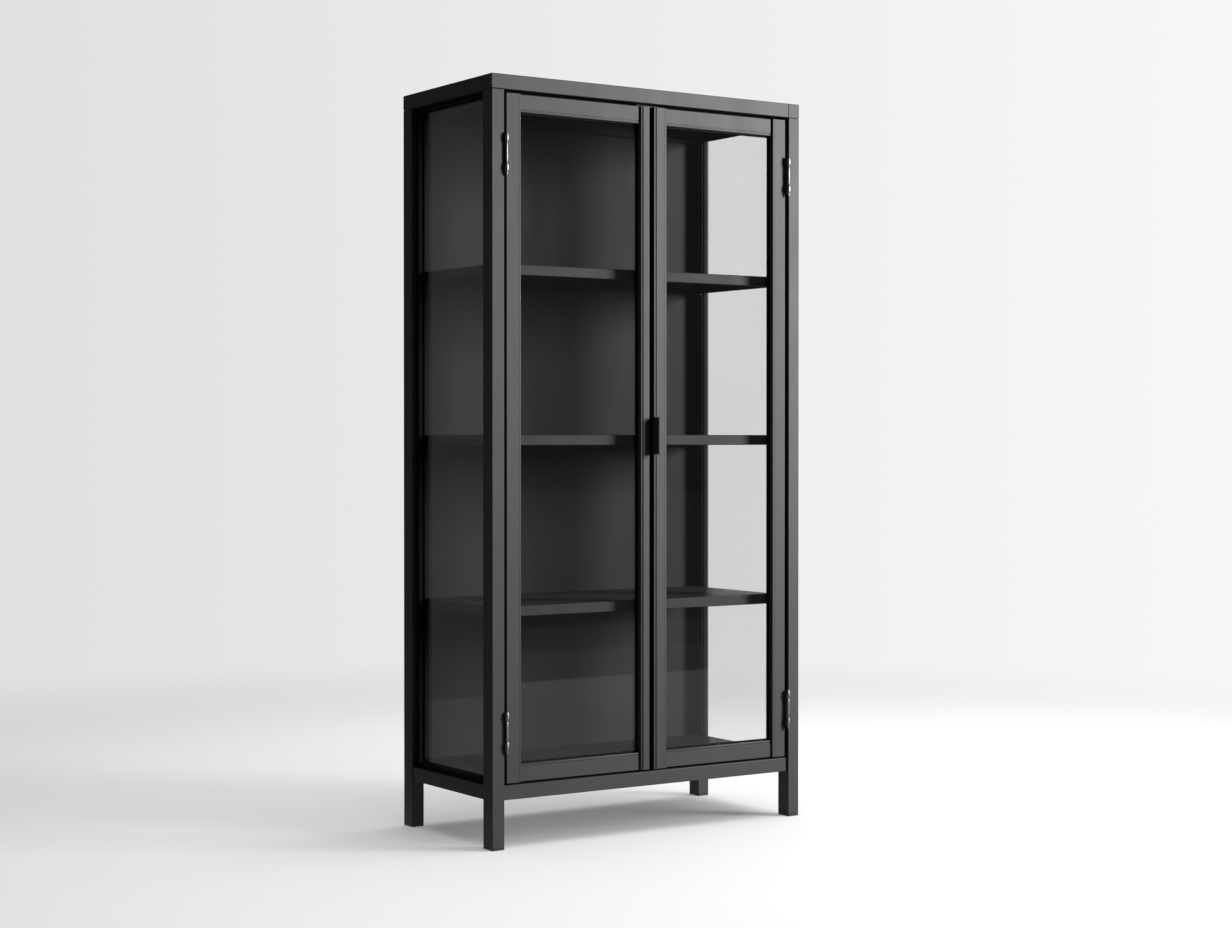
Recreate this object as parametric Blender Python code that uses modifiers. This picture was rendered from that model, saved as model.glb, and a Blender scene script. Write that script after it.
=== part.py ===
"""Glazed steel display cabinet: a welded frame on four legs, three shelves and two hinged doors.

Metres, +Z up, the front faces -Y.  The origin is on the floor, under the middle of the whole object.
Places are written from the frame's front left bottom corner (x right, y back, z up), and the
carcass empty carries them to the origin.  The pieces of each door hang on an empty on its hinge axis.
"""
import bmesh
import bpy
from math import cos, pi, sin
from mathutils import Vector

# Overall size
WIDTH = 0.900
DEPTH = 0.430
HEIGHT = 1.800
HANDLE_PROUD = 0.021

# Frame: box section steel
POST_W = 0.033
POST_D = 0.042
TUBE_WALL = 0.0012
TOP_RAIL_H = 0.035
BOTTOM_RAIL_LOW = 0.1145
BOTTOM_RAIL_H = 0.0345
BOTTOM_RAIL_D = 0.034
BOTTOM_RAIL_SET_BACK = 0.005
FIT = 0.0003
EDGE = 0.0010
FOOT_H = 0.007
PLUG_H = 0.015

# Panels and shelves: folded sheet
SHEET = 0.0010
FLOOR_TOP = 0.1635
CEILING_SKIRT_LOW = 1.742
BACK_FACE = 0.410
SHELF_TOPS = {"upper": 1.366, "middle": 0.965, "lower": 0.562}
SHELF_FOLD = 0.025
SHELF_FRONT = 0.050
SHELF_SIDE_GAP = 0.0045
SHELF_BACK_GAP = 0.004

# Slotted standards on the posts' inner faces, with a lug under each shelf corner
STANDARD_T = 0.003
STANDARD_W = 0.0135
LUG_T = 0.003
LUG_REACH = 0.012
LUG_LENGTH = 0.032

# Glazing: a pane in a one piece rubber channel
PANE_T = 0.004
CHANNEL_WEB = 0.0009
SIDE_PANE_OUT = 0.024
SIDE_CHANNEL = (0.013, 0.0315)
SIDE_SIGHT = 0.012
DOOR_SIGHT = 0.0033

# Doors
DOOR_SET_BACK = 0.004
DOOR_BACK = 0.026
DOOR_LOW = 0.1535
DOOR_TOP = 1.758
DOOR_RAIL_H = 0.0425
DOOR_RAIL_SET_BACK = 0.0045
DOOR_SIDE_GAP = 0.008
HINGE_STILE_W = 0.040
LEFT_MEETING_STILE = (0.4185, 0.4445)
RIGHT_MEETING_STILE = (0.456, 0.495)
DOOR_PANE_FRONT = 0.019
DOOR_CHANNEL = (0.0165, 0.0255)
BEAD_W = 0.005
WIDE_BEAD_W = 0.0075
GROOVE_W = 0.0025
GROOVE_DEEP = 0.002

# Meeting edge, handle and catch
STRIP = (0.4533, 0.4662)
STRIP_PROUD = 0.001
GAP_SEAL_END = 0.4520
GAP_SEAL_Y = (0.010, 0.020)
HANDLE_PLATE_X = (0.4538, 0.4726)
HANDLE_PLATE_Z = (0.9165, 1.0095)
HANDLE_PLATE_T = 0.0020
HANDLE_WEB_X = (0.4540, 0.4565)
HANDLE_LIP_X = (0.4540, 0.4632)
HANDLE_LIP_T = 0.0032
HANDLE_Z = (0.918, 1.008)
CATCH_X = (0.420, 0.486)
CATCH_Y = (0.029, 0.0415)
CATCH_LOW = 1.741
STRIKE_T = 0.0012
STRIKE_H = 0.014

# Barrel hinges: the frame leaf has both end knuckles, the door leaf the middle one
HINGE_X = 0.037
HINGE_Y = -0.0045
HINGE_CENTRES = {"upper": 1.618, "lower": 0.275}
HINGE_H = 0.090
END_KNUCKLE_H = 0.024
KNUCKLE_R = 0.0045
KNUCKLE_SIDES = 20
BORE_R = 0.0023
PIN_R = 0.0020
PIN_HEAD_R = 0.0034
PIN_HEAD_H = 0.0024
PIN_TIP = 0.0080
LEAF_T = 0.0017
LEAF_BACK = 0.022
RUNNING_GAP = 0.0004

PAINT = (0.036, 0.037, 0.039)
CARCASS_AT = Vector((-WIDTH / 2, (HANDLE_PROUD - DEPTH) / 2, 0.0))


# ---------------------------------------------------------------- helpers

def clear_scene():
    """Remove every object and collection of the start file."""
    for thing in list(bpy.data.objects):
        bpy.data.objects.remove(thing, do_unlink=True)
    for group in list(bpy.data.collections):
        bpy.data.collections.remove(group)


def make_collection(name):
    group = bpy.data.collections.new(name)
    bpy.context.scene.collection.children.link(group)
    return group


def make_material(name, colour, roughness, metallic, alpha=1.0):
    paint = bpy.data.materials.new(name)
    paint.use_nodes = True
    shader = paint.node_tree.nodes["Principled BSDF"]
    shader.inputs["Base Color"].default_value = (*colour, 1.0)
    shader.inputs["Roughness"].default_value = roughness
    shader.inputs["Metallic"].default_value = metallic
    shader.inputs["Alpha"].default_value = alpha
    paint.diffuse_color = (*colour, alpha)
    return paint


def make_axis(name, place, parent=None):
    """An empty at a place measured from the frame's corner."""
    axis = bpy.data.objects.new(name, None)
    axis.empty_display_size = 0.05
    axis["place"] = tuple(place)
    if parent is None:
        axis.location = CARCASS_AT + Vector(place)
    else:
        axis.parent = parent
        axis.location = Vector(place) - Vector(parent["place"])
    bpy.context.scene.collection.objects.link(axis)
    return axis


def put(name, mesh, place, axis, paint, collection):
    """Link a mesh as an object whose own origin is at the place, under its body's empty."""
    thing = bpy.data.objects.new(name, mesh)
    thing.parent = axis
    thing.location = Vector(place) - Vector(axis["place"])
    if paint is not None:
        mesh.materials.append(paint)
    collection.objects.link(thing)
    return thing


def box_mesh(name, size, missing=None):
    """A centred box, without the face that points along missing."""
    shape = bmesh.new()
    bmesh.ops.create_cube(shape, size=1.0)
    bmesh.ops.scale(shape, vec=size, verts=shape.verts)
    if missing is not None:
        shape.normal_update()
        lost = [face for face in shape.faces if face.normal.dot(Vector(missing)) > 0.9]
        bmesh.ops.delete(shape, geom=lost, context="FACES_ONLY")
    mesh = bpy.data.meshes.new(name)
    shape.to_mesh(mesh)
    shape.free()
    return mesh


def block(name, low, high, axis, paint, edge=EDGE):
    """A solid block between two corners, with its edges broken."""
    low = Vector(low)
    high = Vector(high)
    thing = put(name, box_mesh(name, high - low), (low + high) / 2, axis, paint, PARTS)
    if edge:
        break_edges(thing, edge)
    return thing


def break_edges(thing, width, segments=1):
    bevel = thing.modifiers.new("broken_edges", "BEVEL")
    bevel.width = width
    bevel.segments = segments
    bevel.limit_method = "ANGLE"
    bevel.angle_limit = 0.6
    return bevel


def hide(thing):
    thing.hide_render = True
    thing.display_type = "WIRE"


def combine(thing, tool, operation):
    hide(tool)
    change = thing.modifiers.new(operation.lower(), "BOOLEAN")
    change.object = tool
    change.operation = operation
    change.solver = "EXACT"


def shape_block(thing, low, high, operation="DIFFERENCE"):
    """Take a block out of a piece, or weld one to it."""
    low = Vector(low)
    high = Vector(high)
    name = thing.name + "_tool"
    tool = put(name, box_mesh(name, high - low), (low + high) / 2, CARCASS, None, TOOLS)
    combine(thing, tool, operation)


def shape_cylinder(thing, radius, low, high, operation, sides=KNUCKLE_SIDES):
    """Take an upright cylinder out of a piece, or weld one to it."""
    name = thing.name + "_round_tool"
    shape = bmesh.new()
    bmesh.ops.create_cone(shape, cap_ends=True, segments=sides, radius1=radius, radius2=radius,
                          depth=high[2] - low[2])
    mesh = bpy.data.meshes.new(name)
    shape.to_mesh(mesh)
    shape.free()
    tool = put(name, mesh, (Vector(low) + Vector(high)) / 2, CARCASS, None, TOOLS)
    combine(thing, tool, operation)


def box_section(name, low, high, along, axis, paint, closed=()):
    """A steel box section along one axis, open at each end that isn't in closed ('low', 'high')."""
    tube = block(name, low, high, axis, paint)
    inner_low = [value + TUBE_WALL for value in low]
    inner_high = [value - TUBE_WALL for value in high]
    if "low" not in closed:
        inner_low[along] = low[along] - 0.01
    if "high" not in closed:
        inner_high[along] = high[along] + 0.01
    shape_block(tube, inner_low, inner_high)
    return tube


def folded_tray(name, low, high, open_to, axis, paint):
    """A sheet with its four edges folded, open to one side."""
    low = Vector(low)
    high = Vector(high)
    mesh = box_mesh(name, high - low, missing=open_to)
    tray = put(name, mesh, (low + high) / 2, axis, paint, PARTS)
    fold = tray.modifiers.new("sheet", "SOLIDIFY")
    fold.thickness = SHEET
    fold.offset = -1.0
    fold.use_even_offset = True
    return tray


def across(side, near, far):
    """The low and high x of a span, given from its own side of the cabinet."""
    if side == "left":
        return near, far
    return WIDTH - far, WIDTH - near


# ---------------------------------------------------------------- frame

def build_posts():
    spans = {"front": (0.0, POST_D), "rear": (DEPTH - POST_D, DEPTH)}
    for end, (y_low, y_high) in spans.items():
        for side in ("left", "right"):
            x_low, x_high = across(side, 0.0, POST_W)
            low = (x_low, y_low, FOOT_H + FIT)
            high = (x_high, y_high, HEIGHT - TOP_RAIL_H - FIT)
            box_section(f"post_{end}_{side}", low, high, 2, CARCASS, FRAME_PAINT)
            build_foot(f"foot_{end}_{side}", (x_low, y_low), (x_high, y_high))


def build_foot(name, low, high):
    """A plastic cap under a post, with a plug up inside the section."""
    foot = block(name, (*low, 0.0), (*high, FOOT_H), CARCASS, FOOT_PLASTIC, edge=0.0015)
    inset = TUBE_WALL + FIT
    plug_low = (low[0] + inset, low[1] + inset, FOOT_H / 2)
    plug_high = (high[0] - inset, high[1] - inset, FOOT_H + PLUG_H)
    shape_block(foot, plug_low, plug_high, "UNION")


def build_top_rails():
    """Four rails laid round the top like a pinwheel, each with its shut end on a corner."""
    low = HEIGHT - TOP_RAIL_H
    right = WIDTH - POST_W
    back = DEPTH - POST_D
    box_section("top_rail_front", (0, 0, low), (right - FIT, POST_D, HEIGHT), 0,
                CARCASS, FRAME_PAINT, closed=("low",))
    box_section("top_rail_right", (right, 0, low), (WIDTH, back - FIT, HEIGHT), 1,
                CARCASS, FRAME_PAINT, closed=("low",))
    box_section("top_rail_rear", (POST_W + FIT, back, low), (WIDTH, DEPTH, HEIGHT), 0,
                CARCASS, FRAME_PAINT, closed=("high",))
    box_section("top_rail_left", (0, POST_D + FIT, low), (POST_W, DEPTH, HEIGHT), 1,
                CARCASS, FRAME_PAINT, closed=("high",))


def build_bottom_rails():
    """Rails between the posts, set back a little from their faces."""
    low = BOTTOM_RAIL_LOW
    high = BOTTOM_RAIL_LOW + BOTTOM_RAIL_H
    x_span = (POST_W + FIT, WIDTH - POST_W - FIT)
    y_span = (POST_D + FIT, DEPTH - POST_D - FIT)
    back = BOTTOM_RAIL_SET_BACK
    front_y = {"front": (back, back + BOTTOM_RAIL_D),
               "rear": (DEPTH - back - BOTTOM_RAIL_D, DEPTH - back)}
    for end, (y_low, y_high) in front_y.items():
        box_section(f"bottom_rail_{end}", (x_span[0], y_low, low), (x_span[1], y_high, high), 0,
                    CARCASS, FRAME_PAINT)
    for side in ("left", "right"):
        x_low, x_high = across(side, 0.002, POST_W)
        box_section(f"bottom_rail_{side}", (x_low, y_span[0], low), (x_high, y_span[1], high), 1,
                    CARCASS, FRAME_PAINT)


# ---------------------------------------------------------------- panels, shelves

def build_panels():
    inner = (POST_W + FIT, WIDTH - POST_W - FIT)
    top_y = (POST_D + FIT, DEPTH - POST_D - FIT)
    folded_tray("top_panel", (inner[0], top_y[0], CEILING_SKIRT_LOW),
                (inner[1], top_y[1], HEIGHT - 0.0005), (0, 0, -1), CARCASS, PANEL_PAINT)
    rail_top = BOTTOM_RAIL_LOW + BOTTOM_RAIL_H
    folded_tray("floor_panel", (inner[0], 0.0285, rail_top + FIT),
                (inner[1], BACK_FACE - FIT, FLOOR_TOP), (0, 0, -1), CARCASS, PANEL_PAINT)
    folded_tray("back_panel", (inner[0], BACK_FACE, rail_top + FIT),
                (inner[1], DEPTH - 0.002, HEIGHT - TOP_RAIL_H - FIT), (0, 1, 0), CARCASS, PANEL_PAINT)


def build_shelves():
    for level, top in SHELF_TOPS.items():
        low = (POST_W + SHELF_SIDE_GAP, SHELF_FRONT, top - SHELF_FOLD)
        high = (WIDTH - POST_W - SHELF_SIDE_GAP, BACK_FACE - SHELF_BACK_GAP, top)
        folded_tray(f"shelf_{level}", low, high, (0, 0, -1), CARCASS, PANEL_PAINT)


def build_standards():
    """A slotted bar on each post's inner face, with a lug under each shelf."""
    spans = {"front": (POST_D - STANDARD_W - FIT, POST_D - FIT, 1),
             "rear": (DEPTH - POST_D + FIT, DEPTH - POST_D + STANDARD_W + FIT, -1)}
    for end, (y_low, y_high, inward) in spans.items():
        for side in ("left", "right"):
            x_low, x_high = across(side, POST_W + FIT, POST_W + FIT + STANDARD_T)
            bar = block(f"shelf_standard_{end}_{side}", (x_low, y_low, FLOOR_TOP + 0.006),
                        (x_high, y_high, CEILING_SKIRT_LOW - 0.012), CARCASS, PANEL_PAINT, edge=0.0)
            lug_x = across(side, POST_W + FIT, POST_W + FIT + LUG_REACH)
            for top in SHELF_TOPS.values():
                lug_top = top - SHELF_FOLD - FIT
                y_from = y_low + 0.001 if inward > 0 else y_high - 0.001 - LUG_LENGTH
                shape_block(bar, (lug_x[0], y_from, lug_top - LUG_T),
                            (lug_x[1], y_from + LUG_LENGTH, lug_top), "UNION")


# ---------------------------------------------------------------- glazing

def glaze(opening_low, opening_high, through, channel, pane_front, sight, names, axis):
    """A pane in a rubber channel that lines an opening.  through is the axis that looks through it."""
    pane_name, channel_name = names
    edge_gap = CHANNEL_WEB + FIT
    low = [value + FIT for value in opening_low]
    high = [value - FIT for value in opening_high]
    low[through], high[through] = channel
    ring = block(channel_name, low, high, axis, SEAL_RUBBER, edge=0.0)
    sight_low = [value + sight for value in opening_low]
    sight_high = [value - sight for value in opening_high]
    sight_low[through] = channel[0] - 0.01
    sight_high[through] = channel[1] + 0.01
    shape_block(ring, sight_low, sight_high)
    slot_low = [value + edge_gap for value in opening_low]
    slot_high = [value - edge_gap for value in opening_high]
    slot_low[through] = pane_front - FIT
    slot_high[through] = pane_front + PANE_T + FIT
    shape_block(ring, slot_low, slot_high)
    pane_low = [value + edge_gap + FIT for value in opening_low]
    pane_high = [value - edge_gap - FIT for value in opening_high]
    pane_low[through] = pane_front
    pane_high[through] = pane_front + PANE_T
    block(pane_name, pane_low, pane_high, axis, GLASS, edge=0.0004)


def build_side_glazing():
    low_z = BOTTOM_RAIL_LOW + BOTTOM_RAIL_H
    high_z = HEIGHT - TOP_RAIL_H
    for side in ("left", "right"):
        channel = across(side, *SIDE_CHANNEL)
        pane_front = across(side, SIDE_PANE_OUT, SIDE_PANE_OUT + PANE_T)[0]
        glaze([0.0, POST_D, low_z], [0.0, DEPTH - POST_D, high_z], 0, channel, pane_front,
              SIDE_SIGHT, (f"side_glass_{side}", f"side_seal_{side}"), CARCASS)


# ---------------------------------------------------------------- doors

def build_stile(name, x_low, x_high, bead_side, bead, axis):
    """An upright of a door: a box section with a moulded bead along its glass edge."""
    stile = block(name, (x_low, DOOR_SET_BACK, DOOR_LOW), (x_high, DOOR_BACK, DOOR_TOP), axis, FRAME_PAINT)
    solid = bead + GROOVE_W + TUBE_WALL
    cavity_low = [x_low + TUBE_WALL, DOOR_SET_BACK + TUBE_WALL, DOOR_LOW - 0.01]
    cavity_high = [x_high - TUBE_WALL, DOOR_BACK - TUBE_WALL, DOOR_TOP + 0.01]
    if bead_side == "high":
        groove_x = (x_high - bead - GROOVE_W, x_high - bead)
        cavity_high[0] = x_high - solid
    else:
        groove_x = (x_low + bead, x_low + bead + GROOVE_W)
        cavity_low[0] = x_low + solid
    shape_block(stile, cavity_low, cavity_high)
    shape_block(stile, (groove_x[0], DOOR_SET_BACK - 0.01, DOOR_LOW - 0.01),
                (groove_x[1], DOOR_SET_BACK + GROOVE_DEEP, DOOR_TOP + 0.01))


def build_door_rail(name, x_span, z_low, z_high, bead_side, axis):
    """A cross rail of a door, set back from the stiles, with the same bead along its glass edge."""
    front = DOOR_SET_BACK + DOOR_RAIL_SET_BACK
    x_low = x_span[0] + FIT
    x_high = x_span[1] - FIT
    rail = block(name, (x_low, front, z_low), (x_high, DOOR_BACK, z_high), axis, FRAME_PAINT)
    solid = BEAD_W + GROOVE_W + TUBE_WALL
    cavity_low = [x_low - 0.01, front + TUBE_WALL, z_low + TUBE_WALL]
    cavity_high = [x_high + 0.01, DOOR_BACK - TUBE_WALL, z_high - TUBE_WALL]
    if bead_side == "high":
        groove_z = (z_high - BEAD_W - GROOVE_W, z_high - BEAD_W)
        cavity_high[2] = z_high - solid
    else:
        groove_z = (z_low + BEAD_W, z_low + BEAD_W + GROOVE_W)
        cavity_low[2] = z_low + solid
    shape_block(rail, cavity_low, cavity_high)
    shape_block(rail, (x_low - 0.01, front - 0.01, groove_z[0]),
                (x_high + 0.01, front + GROOVE_DEEP, groove_z[1]))


def build_door(side, axis, meeting, meeting_bead):
    """One door: two stiles, two rails, the pane and its channel."""
    outer = across(side, POST_W + DOOR_SIDE_GAP, POST_W + DOOR_SIDE_GAP + HINGE_STILE_W)
    if side == "left":
        build_stile("left_door_hinge_stile", *outer, "high", BEAD_W, axis)
        build_stile("left_door_meeting_stile", *meeting, "low", meeting_bead, axis)
        opening_x = (outer[1], meeting[0])
    else:
        build_stile("right_door_hinge_stile", *outer, "low", BEAD_W, axis)
        build_stile("right_door_meeting_stile", *meeting, "high", meeting_bead, axis)
        opening_x = (meeting[1], outer[0])
    low_z = DOOR_LOW + DOOR_RAIL_H
    high_z = DOOR_TOP - DOOR_RAIL_H
    build_door_rail(f"{side}_door_bottom_rail", opening_x, DOOR_LOW, low_z, "high", axis)
    build_door_rail(f"{side}_door_top_rail", opening_x, high_z, DOOR_TOP, "low", axis)
    glaze([opening_x[0], 0.0, low_z], [opening_x[1], 0.0, high_z], 1, DOOR_CHANNEL, DOOR_PANE_FRONT,
          DOOR_SIGHT, (f"{side}_door_glass", f"{side}_door_seal"), axis)
    strike_x = (meeting[0] + 0.003, meeting[0] + 0.023)
    strike_z = (CATCH_LOW + 0.001, CATCH_LOW + 0.001 + STRIKE_H)
    block(f"{side}_door_strike", (strike_x[0], DOOR_BACK + FIT, strike_z[0]),
          (strike_x[1], DOOR_BACK + FIT + STRIKE_T, strike_z[1]), axis, CATCH_STEEL, edge=0.0003)


def build_meeting_edge():
    """The rubber on the left door's edge, and the twin ridged cover strip on the right door."""
    block("left_door_gap_seal", (LEFT_MEETING_STILE[1] + FIT, GAP_SEAL_Y[0], DOOR_LOW + 0.002),
          (GAP_SEAL_END, GAP_SEAL_Y[1], DOOR_TOP - 0.002), LEFT_DOOR, SEAL_RUBBER, edge=0.0015)
    strip = block("right_door_meeting_strip", (STRIP[0], -STRIP_PROUD, DOOR_LOW),
                  (STRIP[1], DOOR_SET_BACK - FIT, DOOR_TOP), RIGHT_DOOR, FRAME_PAINT, edge=0.0012)
    middle = (STRIP[0] + STRIP[1]) / 2
    shape_block(strip, (middle - 0.0006, -STRIP_PROUD - 0.01, DOOR_LOW - 0.01),
                (middle + 0.0006, -STRIP_PROUD + 0.0015, DOOR_TOP + 0.01))


def build_handle():
    """An angle pull on a back plate: a web stands out from the plate, and fingers hook behind its lip."""
    back = -STRIP_PROUD - FIT
    plate_face = back - HANDLE_PLATE_T
    handle = block("right_door_handle", (HANDLE_PLATE_X[0], plate_face, HANDLE_PLATE_Z[0]),
                   (HANDLE_PLATE_X[1], back, HANDLE_PLATE_Z[1]), RIGHT_DOOR, HANDLE_PAINT, edge=0.0004)
    lip_back = -HANDLE_PROUD + HANDLE_LIP_T
    weld = plate_face + HANDLE_PLATE_T / 2
    shape_block(handle, (HANDLE_LIP_X[0], -HANDLE_PROUD, HANDLE_Z[0]),
                (HANDLE_LIP_X[1], lip_back, HANDLE_Z[1]), "UNION")
    shape_block(handle, (HANDLE_WEB_X[0], lip_back - FIT, HANDLE_Z[0]),
                (HANDLE_WEB_X[1], weld, HANDLE_Z[1]), "UNION")


def build_catch():
    """A double magnetic catch under the top rail, behind the meeting edge."""
    block("magnetic_catch", (CATCH_X[0], CATCH_Y[0], CATCH_LOW),
          (CATCH_X[1], CATCH_Y[1], HEIGHT - TOP_RAIL_H - FIT), CARCASS, CATCH_PLASTIC, edge=0.0008)


# ---------------------------------------------------------------- hinges

def build_hinge(side, level, door_axis):
    """Frame leaf, door leaf and pin of one hinge."""
    centre = HINGE_CENTRES[level]
    low = centre - HINGE_H / 2
    high = centre + HINGE_H / 2
    axis_x = HINGE_X if side == "left" else WIDTH - HINGE_X
    middle = (low + END_KNUCKLE_H, high - END_KNUCKLE_H)
    clear_y = HINGE_Y + KNUCKLE_R + RUNNING_GAP

    frame_x = across(side, POST_W + FIT, POST_W + FIT + LEAF_T)
    frame_leaf = block(f"hinge_frame_leaf_{level}_{side}", (frame_x[0], HINGE_Y, low),
                       (frame_x[1], LEAF_BACK, high), CARCASS, HINGE_STEEL, edge=0.0)
    shape_block(frame_leaf, (frame_x[0] - 0.01, HINGE_Y - 0.01, middle[0]),
                (frame_x[1] + 0.01, clear_y, middle[1]))
    for z_low, z_high in ((low, middle[0]), (middle[1], high)):
        shape_cylinder(frame_leaf, KNUCKLE_R, (axis_x, HINGE_Y, z_low), (axis_x, HINGE_Y, z_high), "UNION")
    shape_cylinder(frame_leaf, BORE_R, (axis_x, HINGE_Y, low - 0.01), (axis_x, HINGE_Y, high + 0.01),
                   "DIFFERENCE")

    far = POST_W + DOOR_SIDE_GAP - FIT
    door_x = across(side, far - LEAF_T, far)
    door_leaf = block(f"hinge_door_leaf_{level}_{side}", (door_x[0], HINGE_Y, low),
                      (door_x[1], LEAF_BACK, high), door_axis, HINGE_STEEL, edge=0.0)
    door_z = (middle[0] + RUNNING_GAP, middle[1] - RUNNING_GAP)
    for z_low, z_high in ((low - 0.01, door_z[0]), (door_z[1], high + 0.01)):
        shape_block(door_leaf, (door_x[0] - 0.01, HINGE_Y - 0.01, z_low),
                    (door_x[1] + 0.01, clear_y, z_high))
    shape_cylinder(door_leaf, KNUCKLE_R, (axis_x, HINGE_Y, door_z[0]), (axis_x, HINGE_Y, door_z[1]), "UNION")
    shape_cylinder(door_leaf, BORE_R, (axis_x, HINGE_Y, low - 0.02), (axis_x, HINGE_Y, high + 0.02),
                   "DIFFERENCE")

    build_pin(f"hinge_pin_{level}_{side}", axis_x, low, high)


def build_pin(name, axis_x, low, high):
    """A turned pin with a domed head and a rounded tip."""
    dome = 4
    head_low = high + FIT
    outline = [(0.0, head_low + PIN_HEAD_H)]
    for step in range(1, dome + 1):
        turn = step * pi / 2 / dome
        outline.append((PIN_HEAD_R * sin(turn), head_low + PIN_HEAD_H * cos(turn)))
    outline.append((PIN_R, head_low))
    outline.append((PIN_R, low - PIN_TIP * 0.8))
    outline.append((PIN_R * 0.5, low - PIN_TIP))
    outline.append((0.0, low - PIN_TIP))
    centre = (low + high) / 2
    shape = bmesh.new()
    points = [shape.verts.new((radius, 0.0, z - centre)) for radius, z in outline]
    for first, second in zip(points, points[1:]):
        shape.edges.new((first, second))
    mesh = bpy.data.meshes.new(name)
    shape.to_mesh(mesh)
    shape.free()
    pin = put(name, mesh, (axis_x, HINGE_Y, centre), CARCASS, HINGE_STEEL, PARTS)
    turned = pin.modifiers.new("turned", "SCREW")
    turned.steps = KNUCKLE_SIDES
    turned.render_steps = KNUCKLE_SIDES
    turned.use_merge_vertices = True
    turned.merge_threshold = 0.00005
    turned.use_smooth_shade = True


# ---------------------------------------------------------------- assembly

clear_scene()
PARTS = make_collection("display_cabinet")
TOOLS = make_collection("cutters")

FRAME_PAINT = make_material("frame_paint", PAINT, 0.45, 0.0)
PANEL_PAINT = make_material("panel_paint", PAINT, 0.50, 0.0)
FOOT_PLASTIC = make_material("foot_plastic", (0.012, 0.012, 0.012), 0.55, 0.0)
SEAL_RUBBER = make_material("seal_rubber", (0.006, 0.006, 0.006), 0.65, 0.0)
GLASS = make_material("clear_glass", (0.93, 0.95, 0.95), 0.02, 0.0, alpha=0.3)
HINGE_STEEL = make_material("hinge_steel", (0.55, 0.55, 0.54), 0.28, 1.0)
HANDLE_PAINT = make_material("handle_paint", (0.010, 0.010, 0.010), 0.35, 0.0)
CATCH_PLASTIC = make_material("catch_plastic", (0.015, 0.015, 0.015), 0.50, 0.0)
CATCH_STEEL = make_material("catch_steel", (0.50, 0.50, 0.50), 0.35, 1.0)

CARCASS = make_axis("carcass", (0.0, 0.0, 0.0))
LEFT_DOOR = make_axis("left_door_axis", (HINGE_X, HINGE_Y, 0.0), CARCASS)
RIGHT_DOOR = make_axis("right_door_axis", (WIDTH - HINGE_X, HINGE_Y, 0.0), CARCASS)

build_posts()
build_top_rails()
build_bottom_rails()
build_panels()
build_shelves()
build_standards()
build_side_glazing()
build_door("left", LEFT_DOOR, LEFT_MEETING_STILE, BEAD_W)
build_door("right", RIGHT_DOOR, RIGHT_MEETING_STILE, WIDE_BEAD_W)
build_meeting_edge()
build_handle()
build_catch()
for hinge_level in HINGE_CENTRES:
    build_hinge("left", hinge_level, LEFT_DOOR)
    build_hinge("right", hinge_level, RIGHT_DOOR)
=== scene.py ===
"""A free-standing glazed display cabinet: the looks of its pieces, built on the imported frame."""

from math import cos, pi, radians, sin

import bmesh
import bpy
from bpy.props import FloatProperty, FloatVectorProperty, PointerProperty
from mathutils import Matrix, Vector


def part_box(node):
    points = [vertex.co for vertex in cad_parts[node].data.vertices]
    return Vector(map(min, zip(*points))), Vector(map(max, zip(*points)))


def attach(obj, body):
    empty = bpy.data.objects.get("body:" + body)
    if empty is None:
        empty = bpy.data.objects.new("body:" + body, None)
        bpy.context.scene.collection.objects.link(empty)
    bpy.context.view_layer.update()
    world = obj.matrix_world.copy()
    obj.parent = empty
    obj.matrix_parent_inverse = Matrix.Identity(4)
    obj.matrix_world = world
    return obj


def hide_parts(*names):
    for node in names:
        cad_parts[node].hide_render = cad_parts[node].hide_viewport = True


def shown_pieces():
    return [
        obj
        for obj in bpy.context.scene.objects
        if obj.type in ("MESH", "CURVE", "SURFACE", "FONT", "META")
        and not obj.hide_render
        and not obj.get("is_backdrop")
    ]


bl_info = {
    "name": "Glazed Display Cabinet",
    "version": (1, 0, 0),
    "blender": (4, 5, 0),
    "location": "3D View > Sidebar > Cabinet",
    "description": "Builds a black steel and glass display cabinet with two doors and three shelves",
    "category": "Object",
}

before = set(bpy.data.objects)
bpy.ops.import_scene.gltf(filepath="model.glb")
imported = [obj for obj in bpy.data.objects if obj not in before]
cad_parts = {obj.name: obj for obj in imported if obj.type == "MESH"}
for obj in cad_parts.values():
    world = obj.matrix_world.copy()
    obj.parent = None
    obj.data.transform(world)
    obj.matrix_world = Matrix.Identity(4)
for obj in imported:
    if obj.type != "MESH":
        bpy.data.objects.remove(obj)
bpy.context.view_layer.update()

X, Y, Z = 0, 1, 2
SIDES = ("left", "right")
ENDS = ("front", "rear")
LEVELS = ("upper", "lower")
WHITE = (1.0, 1.0, 1.0, 1.0)
TOUCHING = 1e-6
SHARPEST_SMOOTH = radians(38)
WIDEST_SMOOTH = 0.0011


# ---------------------------------------------------------------- sizes and colours

def length(name, description, default):
    return FloatProperty(name=name, description=description, default=default, min=0.0,
                         precision=5, subtype="DISTANCE", unit="LENGTH")


def paint_colour(name, description, default):
    return FloatVectorProperty(name=name, description=description, default=default, size=3,
                               min=0.0, max=1.0, subtype="COLOR")


def share(name, description, default):
    return FloatProperty(name=name, description=description, default=default, min=0.0, max=1.0,
                         precision=3, subtype="FACTOR")


def power(name, description, default):
    return FloatProperty(name=name, description=description, default=default, min=0.0, unit="POWER")


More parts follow.
